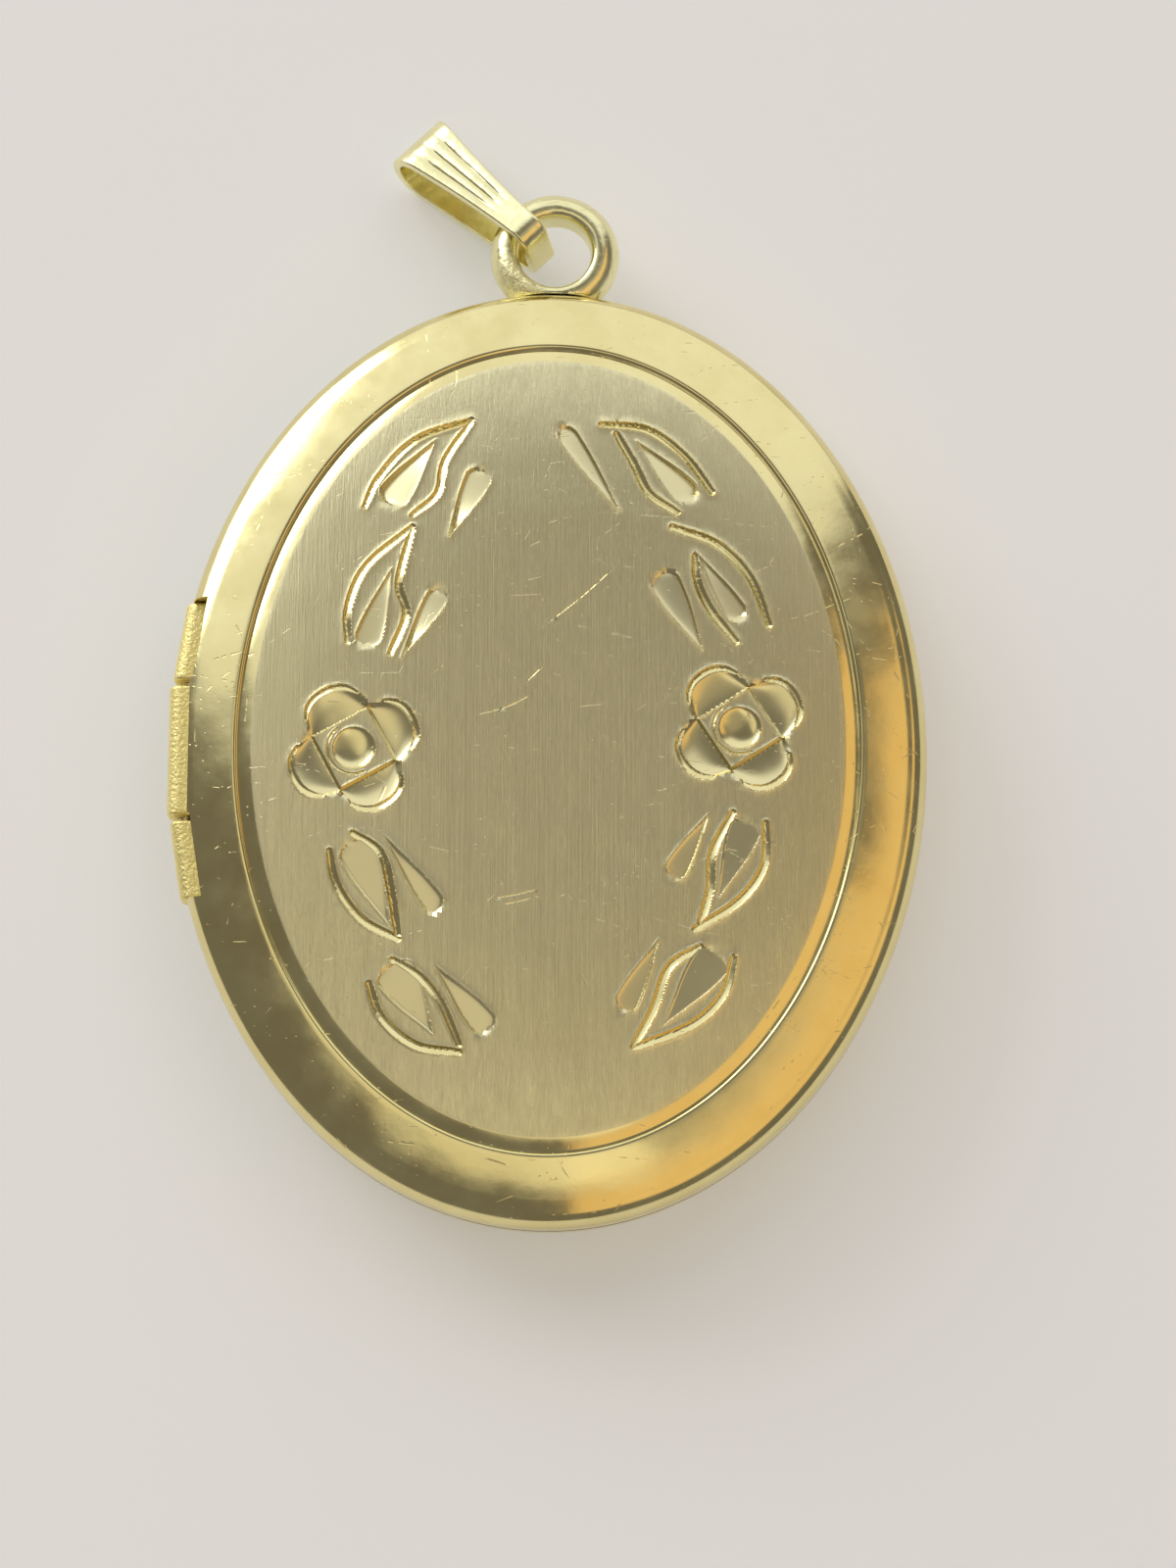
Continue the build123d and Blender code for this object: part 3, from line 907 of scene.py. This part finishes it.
def specks(nodes, scale=2.3):
    """Tiny dents in loose clusters, 0 to 1."""
    mapping = nodes.add("ShaderNodeMapping")
    mapping.inputs["Rotation"].default_value = (0, 0, 0.5)
    mapping.inputs["Scale"].default_value = (scale / MM, scale * 1.8 / MM, scale / MM)
    nodes.link(nodes.where, mapping.inputs["Vector"])
    dots = nodes.add("ShaderNodeTexVoronoi")
    dots.inputs["Scale"].default_value = 1
    nodes.link(mapping.outputs["Vector"], dots.inputs["Vector"])
    dent = nodes.ramp(dots.outputs["Distance"], SPECK * 2, SPECK)
    return nodes.math("MULTIPLY", dent, nodes.ramp(nodes.noise(0.4, detail=3.0), 0.49, 0.58))


def polish(nodes, fine):
    """Colour, roughness and relief of worn polished gold, with faint smudges and waves."""
    smudge = nodes.noise(0.45, detail=5.0, rough=0.6)
    colour = nodes.tint(nodes.ramp(smudge, 0.35, 0.7), (0.80, 0.69, 0.33), (0.88, 0.79, 0.41))
    rough = nodes.ramp(smudge, 0.35, 0.68, 0.09, 0.2)
    rough = nodes.math("ADD", rough, nodes.math("MULTIPLY", fine, 0.25))
    waves = nodes.math("MULTIPLY", nodes.noise(0.35, detail=1.0), 2.0)
    relief = nodes.math("ADD", waves, nodes.math("MULTIPLY", nodes.noise(2.2, detail=3.0), 0.12))
    return colour, rough, relief


def polished_gold():
    """Polished gold with hairline scratches and faint handling marks."""
    nodes = Nodes("polished_gold")
    shader = nodes.shader
    shader.inputs["Metallic"].default_value = 1
    fine = nodes.math("MAXIMUM", scratches(nodes), specks(nodes))
    colour, rough, relief = polish(nodes, fine)
    nodes.link(colour, shader.inputs["Base Color"])
    nodes.link(rough, shader.inputs["Roughness"])
    nodes.bump(nodes.math("SUBTRACT", relief, nodes.math("MULTIPLY", fine, 0.35)), 0.02)
    return nodes.material


def worn_gold():
    """Pale, softly polished gold of the ring and the bail, with a rough patch of solder."""
    nodes = Nodes("worn_gold")
    shader = nodes.shader
    shader.inputs["Metallic"].default_value = 1
    fine = nodes.math("MAXIMUM", scratches(nodes, 0.3), specks(nodes, 2.6))
    solder = nodes.add("ShaderNodeVectorMath", operation="DISTANCE")
    spot = Vector((RING_X + SOLDER_SPOT[0], RING_Y + SOLDER_SPOT[1], PARTING + 0.6))
    solder.inputs[1].default_value = spot * MM
    nodes.link(nodes.where, solder.inputs[0])
    patch = nodes.ramp(solder.outputs["Value"], 1.5 * MM, 0.7 * MM)
    body = nodes.noise(0.8, detail=5.0)
    colour = nodes.tint(nodes.ramp(body, 0.3, 0.7), (0.86, 0.80, 0.44), (0.95, 0.90, 0.54))
    nodes.link(colour, shader.inputs["Base Color"])
    rough = nodes.math("ADD", nodes.ramp(body, 0.3, 0.7, 0.17, 0.27),
                       nodes.math("MULTIPLY", patch, 0.12))
    nodes.link(rough, shader.inputs["Roughness"])
    crust = nodes.math("MULTIPLY", nodes.noise(3.0, detail=4.0, rough=0.7),
                       nodes.math("MULTIPLY", patch, 6.0))
    relief = nodes.math("ADD", crust, nodes.noise(2.0, detail=4.0))
    nodes.bump(nodes.math("SUBTRACT", relief, nodes.math("MULTIPLY", fine, 0.6)), 0.02)
    return nodes.material


def simple_gold(name, colours, roughness, grain, relief):
    """Gold between two colours and two roughnesses, with a grain of its own."""
    nodes = Nodes(name)
    shader = nodes.shader
    shader.inputs["Metallic"].default_value = 1
    body = nodes.noise(grain, detail=5.0)
    colour = nodes.tint(nodes.ramp(body, 0.3, 0.7), *colours)
    nodes.link(colour, shader.inputs["Base Color"])
    nodes.link(nodes.ramp(body, 0.3, 0.7, *roughness), shader.inputs["Roughness"])
    nodes.bump(body, relief)
    return nodes.material


def acetate():
    """Clear acetate sheet with faint wear."""
    nodes = Nodes("clear_acetate")
    shader = nodes.shader
    shader.inputs["Base Color"].default_value = (0.97, 0.98, 0.97, 1)
    shader.inputs["IOR"].default_value = 1.47
    haze = nodes.ramp(nodes.noise(0.8, detail=4.0), 0.5, 1.0, 0, 0.4)
    wear = nodes.math("MAXIMUM", scratches(nodes), haze)
    nodes.link(nodes.ramp(wear, 0, 1, 0.04, 0.3), shader.inputs["Roughness"])
    nodes.link(nodes.ramp(wear, 0, 1, 0.14, 0.3), shader.inputs["Alpha"])
    return nodes.material


def picture_card():
    """Matte off-white card with a faint fibre grain."""
    nodes = Nodes("blank_picture_card")
    fibre = nodes.noise(6, (1, 0.4, 1), 5.0)
    nodes.link(nodes.tint(nodes.ramp(fibre, 0.3, 0.7), (0.74, 0.71, 0.63), (0.83, 0.81, 0.75)),
               nodes.shader.inputs["Base Color"])
    nodes.shader.inputs["Roughness"].default_value = 0.85
    nodes.bump(fibre, 0.01)
    return nodes.material


def satin_front():
    """Front cover: polished rim and groove, satin panel brushed along its length, bright cuts."""
    nodes = Nodes("brushed_and_polished_gold")
    shader = nodes.shader
    shader.inputs["Metallic"].default_value = 1
    mask = nodes.add("ShaderNodeAttribute", attribute_name="satin").outputs["Fac"]
    brushed = nodes.ramp(mask, 0.88, 1.0)
    brush = nodes.noise(14, (1, 0.012, 1), 4.0, rough=0.7)
    broad = nodes.noise(2.2, (1, 0.03, 1), 3.0)
    fine = nodes.math("MAXIMUM", scratches(nodes), specks(nodes))
    streaks = nodes.math("ADD", nodes.math("MULTIPLY", brush, 0.7),
                         nodes.math("MULTIPLY", broad, 0.3))
    streaks = nodes.math("SUBTRACT", streaks, 0.5)
    streaks = nodes.math("ADD", nodes.math("MULTIPLY", streaks, brushed), 0.5)
    bright, smooth, waves = polish(nodes, fine)
    satin = nodes.tint(nodes.ramp(streaks, 0.35, 0.65), (0.70, 0.635, 0.385), (0.88, 0.81, 0.49))
    mixed = nodes.add("ShaderNodeMix", data_type="RGBA")
    nodes.link(mask, mixed.inputs[0])
    nodes.link(bright, mixed.inputs[6])
    nodes.link(satin, mixed.inputs[7])
    nodes.link(mixed.outputs[2], shader.inputs["Base Color"])
    matte = nodes.ramp(streaks, 0.3, 0.7, 0.36, 0.26)
    rough = nodes.add("ShaderNodeMix")
    nodes.link(mask, rough.inputs[0])
    nodes.link(smooth, rough.inputs[2])
    nodes.link(matte, rough.inputs[3])
    nodes.link(rough.outputs[0], shader.inputs["Roughness"])
    relief = nodes.math("ADD", streaks, waves)
    nodes.bump(nodes.math("SUBTRACT", relief, nodes.math("MULTIPLY", fine, 0.22)), 0.02)
    return nodes.material


def mark_satin(obj):
    """Store how satin the cover is: the panel wholly, the cuts partly and the rim not at all."""
    mesh = obj.data
    count = len(mesh.vertices)
    co = np.empty(count * 3)
    mesh.vertices.foreach_get("co", co)
    co = co.reshape(-1, 3) / MM
    cuts = Cuts(co[:, 0].copy(), co[:, 1].copy())
    engrave(cuts)
    inset = oval_inset(co[:, 0], co[:, 1])
    above = co[:, 2] > PARTING + PANEL_LOWEST
    panel = (inset > PANEL_INSET - BAND_WIDTH * 0.03) & above
    value = np.where(panel, np.where(cuts.depth < 0.004, 1.0, cuts.matte), 0.0)
    layer = mesh.attributes.new("satin", "FLOAT", "POINT")
    layer.data.foreach_set("value", value)


# ---------------------------------------------------------------- studio
CAMERA_DISTANCE = 150.0
CAMERA_TILT = math.radians(12.8)
CAMERA_RIGHT = 1.56
CAMERA_DOWN = 1.21
SENSOR = 36.0
FRAME_HEIGHT = 62.46


def add_camera():
    """Camera above the locket, tilted towards its lower end."""
    up = Vector((0, math.cos(CAMERA_TILT), math.sin(CAMERA_TILT)))
    ahead = Vector((0, math.sin(CAMERA_TILT), -math.cos(CAMERA_TILT)))
    eye = Vector((0, 0, PARTING)) - ahead * CAMERA_DISTANCE - up * CAMERA_DOWN
    eye += Vector((CAMERA_RIGHT, 0, 0))
    data = bpy.data.cameras.new("camera")
    data.sensor_width = SENSOR
    data.lens = SENSOR * CAMERA_DISTANCE / FRAME_HEIGHT
    data.clip_start = 0.005
    camera = bpy.data.objects.new("camera", data)
    camera.location = eye * MM
    camera.rotation_euler = Euler((CAMERA_TILT, 0, 0))
    bpy.context.collection.objects.link(camera)
    bpy.context.scene.camera = camera


# Each soft card of the studio: the azimuths and the angles from the zenith between which it
# stands, in degrees, the softness of its edges and its light.
CARDS = (
    (43, 156, 33, 88, 0.05, (0.79, 0.81, 0.83)),
    (-84, 8, 28, 58, 0.05, (0.72, 0.46, 0.16)),
    (8, 30, 36, 58, 0.05, (0.72, 0.46, 0.16)),
    (-90, 34, 8, 30, 0.04, (0.22, 0.20, 0.15)),
    (128, 302, 3, 27, 0.02, (0.66, 0.60, 0.46)),
)
SURROUND = (0.18, 0.17, 0.16)
# The lamp's place and size are in metres.
LAMP_PLACE = (-0.41, 0.42, 0.22)
LAMP_SIZE = 0.42
LAMP_POWER = 1.2
FLOOR_HALF = 900
FLOOR_LIFT = 0.22


def add_lamp():
    """Soft round lamp that points at the locket."""
    data = bpy.data.lights.new("window", "AREA")
    data.shape = "DISK"
    data.size = LAMP_SIZE
    data.energy = LAMP_POWER
    lamp = bpy.data.objects.new("window", data)
    lamp.location = LAMP_PLACE
    lamp.rotation_euler = (-Vector(LAMP_PLACE)).to_track_quat("-Z", "Y").to_euler()
    bpy.context.collection.objects.link(lamp)


def direction(azimuth, lean=90.0):
    """Unit direction from its azimuth and its angle from the zenith, in degrees."""
    side = math.sin(math.radians(lean))
    turn = math.radians(azimuth)
    return side * math.cos(turn), side * math.sin(turn), math.cos(math.radians(lean))


def add_world():
    """Soft studio surround with its cards: a large window beyond the ring, two low warm cards on
    the lower right and two faint ones near the zenith."""
    world = bpy.data.worlds.new("studio")
    world.use_nodes = True
    bpy.context.scene.world = world
    tree = world.node_tree
    where = tree.nodes.new("ShaderNodeTexCoord").outputs["Generated"]

    def fade(normal, low, high):
        """Soft step on how far a direction leans towards a normal."""
        dot = tree.nodes.new("ShaderNodeVectorMath")
        dot.operation = "DOT_PRODUCT"
        dot.inputs[1].default_value = normal
        tree.links.new(where, dot.inputs[0])
        step = tree.nodes.new("ShaderNodeMapRange")
        step.interpolation_type = "SMOOTHSTEP"
        step.inputs["From Min"].default_value = low
        step.inputs["From Max"].default_value = high
        tree.links.new(dot.outputs["Value"], step.inputs["Value"])
        return step.outputs["Result"]

    total = None
    for start, end, near, far, soft, colour in CARDS:
        top = math.cos(math.radians(near))
        low = math.cos(math.radians(far))
        share = fade(direction(start + 90), -soft, soft)
        for edge in (fade(direction(end - 90), -soft, soft),
                     fade((0, 0, 1), top + soft, top - soft),
                     fade((0, 0, 1), low - soft, low + soft)):
            product = tree.nodes.new("ShaderNodeMath")
            product.operation = "MULTIPLY"
            tree.links.new(share, product.inputs[0])
            tree.links.new(edge, product.inputs[1])
            share = product.outputs[0]
        part = tree.nodes.new("ShaderNodeVectorMath")
        part.operation = "MULTIPLY_ADD"
        part.inputs[1].default_value = colour
        tree.links.new(share, part.inputs[0])
        if total is None:
            part.inputs[2].default_value = SURROUND
        else:
            tree.links.new(total, part.inputs[2])
        total = part.outputs[0]
    tree.links.new(total, tree.nodes["Background"].inputs["Color"])


def add_floor():
    """Plain pale floor, a little paler to the camera and in the metal than its light makes it."""
    signs = ((-1, -1), (1, -1), (1, 1), (-1, 1))
    corners = [(x * FLOOR_HALF, y * FLOOR_HALF, 0) for x, y in signs]
    floor = new_object("floor", corners, [[0, 1, 2, 3]])
    nodes = Nodes("pale_floor")
    tone = nodes.noise(0.02, detail=2.0)
    colour = nodes.tint(tone, (0.75, 0.76, 0.78), (0.79, 0.80, 0.82))
    nodes.link(colour, nodes.shader.inputs["Base Color"])
    nodes.shader.inputs["Roughness"].default_value = 0.9
    path = nodes.add("ShaderNodeLightPath")
    seen = nodes.math("MAXIMUM", path.outputs["Is Camera Ray"], path.outputs["Is Glossy Ray"])
    seen = nodes.math("MAXIMUM", seen, path.outputs["Is Transmission Ray"])
    nodes.shader.inputs["Emission Color"].default_value = (1, 1, 1, 1)
    nodes.link(nodes.math("MULTIPLY", seen, FLOOR_LIFT), nodes.shader.inputs["Emission Strength"])
    floor.data.materials.append(nodes.material)


def dress(node, material):
    """Give a carried-over CAD node its finished material."""
    obj = frame["nodes"][node]
    obj.data.materials.clear()
    obj.data.materials.append(material)


front_cover, back_cover = make_covers()
mark_satin(front_cover)
polished = polished_gold()
for cover, finish in ((front_cover, satin_front()), (back_cover, polished)):
    cover.data.materials.clear()
    cover.data.materials.append(finish)
inner = simple_gold("inner_gold", ((0.80, 0.70, 0.38), (0.86, 0.77, 0.44)), (0.2, 0.27),
                    grain=2.0, relief=0.001)
grainy = simple_gold("grainy_gold", ((0.94, 0.77, 0.30), (1.0, 0.91, 0.42)), (0.38, 0.5),
                     grain=8.0, relief=0.045)
wire = simple_gold("pin_wire", ((0.66, 0.6, 0.42), (0.76, 0.7, 0.5)), (0.2, 0.3),
                   grain=6.0, relief=0.003)
for node in ("back_bezel", "front_bezel", "back_photo_frame", "front_photo_frame"):
    dress(node, inner)
for node in ("hinge_knuckle_top", "hinge_knuckle_middle", "hinge_knuckle_bottom"):
    dress(node, grainy)
dress("hinge_pin", wire)
clear = acetate()
card = picture_card()
for half in ("back", "front"):
    dress(half + "_window", clear)
    dress(half + "_photo_card", card)
worn = worn_gold()
for obj in (make_ring(), make_bail()):
    obj.data.materials.append(worn)

add_floor()
add_world()
add_camera()
add_lamp()
bpy.context.scene.view_settings.view_transform = "Standard"
